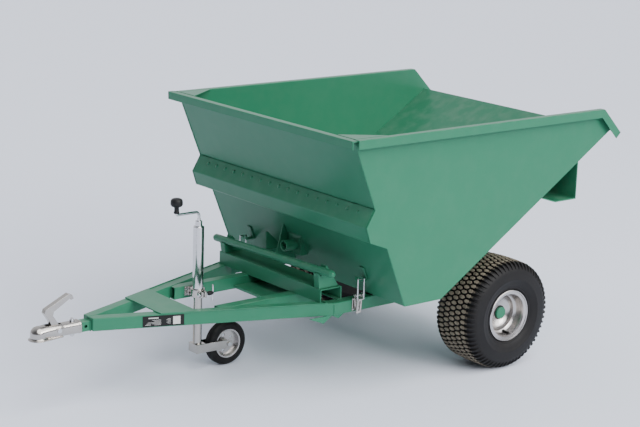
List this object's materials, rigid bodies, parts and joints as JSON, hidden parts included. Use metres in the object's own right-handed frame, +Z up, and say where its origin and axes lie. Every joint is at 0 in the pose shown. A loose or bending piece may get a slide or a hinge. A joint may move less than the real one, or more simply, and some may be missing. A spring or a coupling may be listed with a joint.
{
  "type": "tipping trailer",
  "caption": "Two-wheeled tipping hopper trailer: a sloping open hopper on a tube frame with drawbar, ball coupling, lever bar, latches and a swivelling jockey wheel.",
  "frame": {"origin": "on the ground, at the middle of the trailer's length and width", "axes": "+X forward to the ball coupling, +Y to the trailer's left, +Z up"},
  "size_m": [2.695, 1.33, 1.142],
  "materials": {
    "frame_paint": "satin-gloss green enamel",
    "hopper_paint": "satin-gloss green enamel on sheet",
    "zinc_steel": "bright zinc plate",
    "bright_steel": "polished plated steel",
    "dark_steel": "greased dark steel",
    "rim_silver": "silver enamel",
    "tyre_rubber": "matte black rubber, dusty on the tread",
    "black_rubber": "smooth black rubber",
    "black_plastic": "fine-grained black plastic",
    "label_black": "blank black label"
  },
  "bodies": {
    "chassis": {"drawbar_left": "frame_paint", "drawbar_right": "frame_paint", "rail_left": "frame_paint", "rail_right": "frame_paint", "stringer_left": "frame_paint", "stringer_right": "frame_paint", "rear_cross_member": "frame_paint", "pivot_cross_member": "frame_paint", "cross_channel": "frame_paint", "front_cross_member": "frame_paint", "frame_gussets": "frame_paint", "rest_pads": "black_rubber", "axle": "frame_paint", "axle_hangers": "frame_paint", "pivot_lugs": "frame_paint", "coupling_stub": "frame_paint", "data_plate": "label_black", "bar_saddles": "frame_paint", "latch_bases": "zinc_steel", "coupling_body": "zinc_steel", "coupling_bolts": "bright_steel", "jockey_clamp": "zinc_steel"},
    "hopper": {"side_plate_left": "hopper_paint", "side_plate_right": "hopper_paint", "front_plate": "hopper_paint", "chute_plate": "hopper_paint", "front_stiffener": "hopper_paint", "rear_stiffener": "hopper_paint", "corner_gussets": "hopper_paint", "lever_socket": "hopper_paint", "socket_stays": "hopper_paint", "latch_keepers": "hopper_paint", "pivot_legs": "hopper_paint", "pivot_pins": "bright_steel"},
    "coupling_handle": {"coupling_handle": "zinc_steel"},
    "coupling_jaw": {"coupling_jaw": "dark_steel"},
    "tip_bar": {"tip_bar": "frame_paint"},
    "latch_lever_left": {"latch_lever_left": "zinc_steel"},
    "latch_lever_right": {"latch_lever_right": "zinc_steel"},
    "latch_bail_left": {"latch_bail_left": "bright_steel"},
    "latch_bail_right": {"latch_bail_right": "bright_steel"},
    "clamp_handle": {"clamp_handle": "bright_steel"},
    "jockey_tube": {"jockey_tube": "zinc_steel"},
    "jockey_crank": {"jockey_crank": "bright_steel"},
    "jockey_knob": {"jockey_knob": "black_plastic"},
    "jockey_nut": {"jockey_nut": "dark_steel"},
    "jockey_leg": {"jockey_leg": "zinc_steel", "jockey_axle": "bright_steel"},
    "jockey_wheel": {"jockey_rim": "rim_silver", "jockey_tyre": "black_rubber"},
    "wheel_left": {"tyre_left": "tyre_rubber", "rim_left": "rim_silver", "bearings_left": "bright_steel", "hub_cap_left": "frame_paint", "valve_left": "black_rubber"},
    "wheel_right": {"tyre_right": "tyre_rubber", "rim_right": "rim_silver", "bearings_right": "bright_steel", "hub_cap_right": "frame_paint", "valve_right": "black_rubber"}
  },
  "joints": [
    {"name": "hopper_tip", "type": "hinge", "parent": "chassis", "child": "hopper", "pos_m": [-0.6865, 0, 0.432], "axis": [0, -1, 0], "range_deg": [0, 65]},
    {"name": "wheel_left_spin", "type": "hinge", "parent": "chassis", "child": "wheel_left", "pos_m": [-0.7065, 0.54, 0.25], "axis": [0, 1, 0], "continuous": true},
    {"name": "wheel_right_spin", "type": "hinge", "parent": "chassis", "child": "wheel_right", "pos_m": [-0.7065, -0.54, 0.25], "axis": [0, 1, 0], "continuous": true},
    {"name": "coupling_handle_press", "type": "hinge", "parent": "chassis", "child": "coupling_handle", "pos_m": [1.2235, 0, 0.35], "axis": [0, -1, 0], "range_deg": [0, 28]},
    {"name": "coupling_jaw_turn", "type": "hinge", "parent": "chassis", "child": "coupling_jaw", "pos_m": [1.2595, 0, 0.35], "axis": [0, -1, 0], "range_deg": [0, 10]},
    {"name": "tip_bar_lift", "type": "slide", "parent": "chassis", "child": "tip_bar", "axis": [0, 0, 1], "range_m": [0, 0.12]},
    {"name": "latch_lever_left_turn", "type": "hinge", "parent": "chassis", "child": "latch_lever_left", "pos_m": [-0.0185, 0.417, 0.399], "axis": [1, 0, 0], "range_deg": [0, 95]},
    {"name": "latch_lever_right_turn", "type": "hinge", "parent": "chassis", "child": "latch_lever_right", "pos_m": [-0.0185, -0.417, 0.399], "axis": [-1, 0, 0], "range_deg": [0, 95]},
    {"name": "latch_bail_left_turn", "type": "hinge", "parent": "latch_lever_left", "child": "latch_bail_left", "pos_m": [-0.0185, 0.431, 0.384], "axis": [1, 0, 0], "range_deg": [-95, 0]},
    {"name": "latch_bail_right_turn", "type": "hinge", "parent": "latch_lever_right", "child": "latch_bail_right", "pos_m": [-0.0185, -0.431, 0.384], "axis": [-1, 0, 0], "range_deg": [-95, 0]},
    {"name": "clamp_handle_turn", "type": "hinge", "parent": "chassis", "child": "clamp_handle", "pos_m": [0.4595, -0.066, 0.356], "axis": [1, 0, 0], "range_deg": [0, 180]},
    {"name": "jockey_tube_slide", "type": "slide", "parent": "chassis", "child": "jockey_tube", "axis": [0, 0, 1], "range_m": [0, 0.05]},
    {"name": "jockey_crank_turn", "type": "hinge", "parent": "jockey_tube", "child": "jockey_crank", "pos_m": [0.4595, -0.105, 0.68], "axis": [0, 0, 1], "range_deg": [-7200, 5400]},
    {"name": "jockey_leg_travel", "type": "slide", "parent": "jockey_tube", "child": "jockey_nut", "axis": [0, 0, 1], "range_m": [-0.08, 0.06]},
    {"name": "jockey_leg_swivel", "type": "hinge", "parent": "jockey_nut", "child": "jockey_leg", "pos_m": [0.4595, -0.105, 0.419], "axis": [0, 0, 1], "continuous": true},
    {"name": "jockey_wheel_spin", "type": "hinge", "parent": "jockey_leg", "child": "jockey_wheel", "pos_m": [0.3085, -0.105, 0.1], "axis": [0, 1, 0], "continuous": true},
    {"name": "jockey_knob_spin", "type": "hinge", "parent": "jockey_crank", "child": "jockey_knob", "pos_m": [0.5755, -0.105, 0.75], "axis": [0, 0, 1], "continuous": true}
  ],
  "couplings": [
    {"joint": "coupling_jaw_turn", "follows": "coupling_handle_press", "ratio": 0.35},
    {"joint": "latch_bail_left_turn", "follows": "latch_lever_left_turn", "ratio": -1},
    {"joint": "latch_bail_right_turn", "follows": "latch_lever_right_turn", "ratio": -1},
    {"joint": "jockey_leg_travel", "follows": "jockey_crank_turn", "m_per_rad": 0.000636}
  ]
}
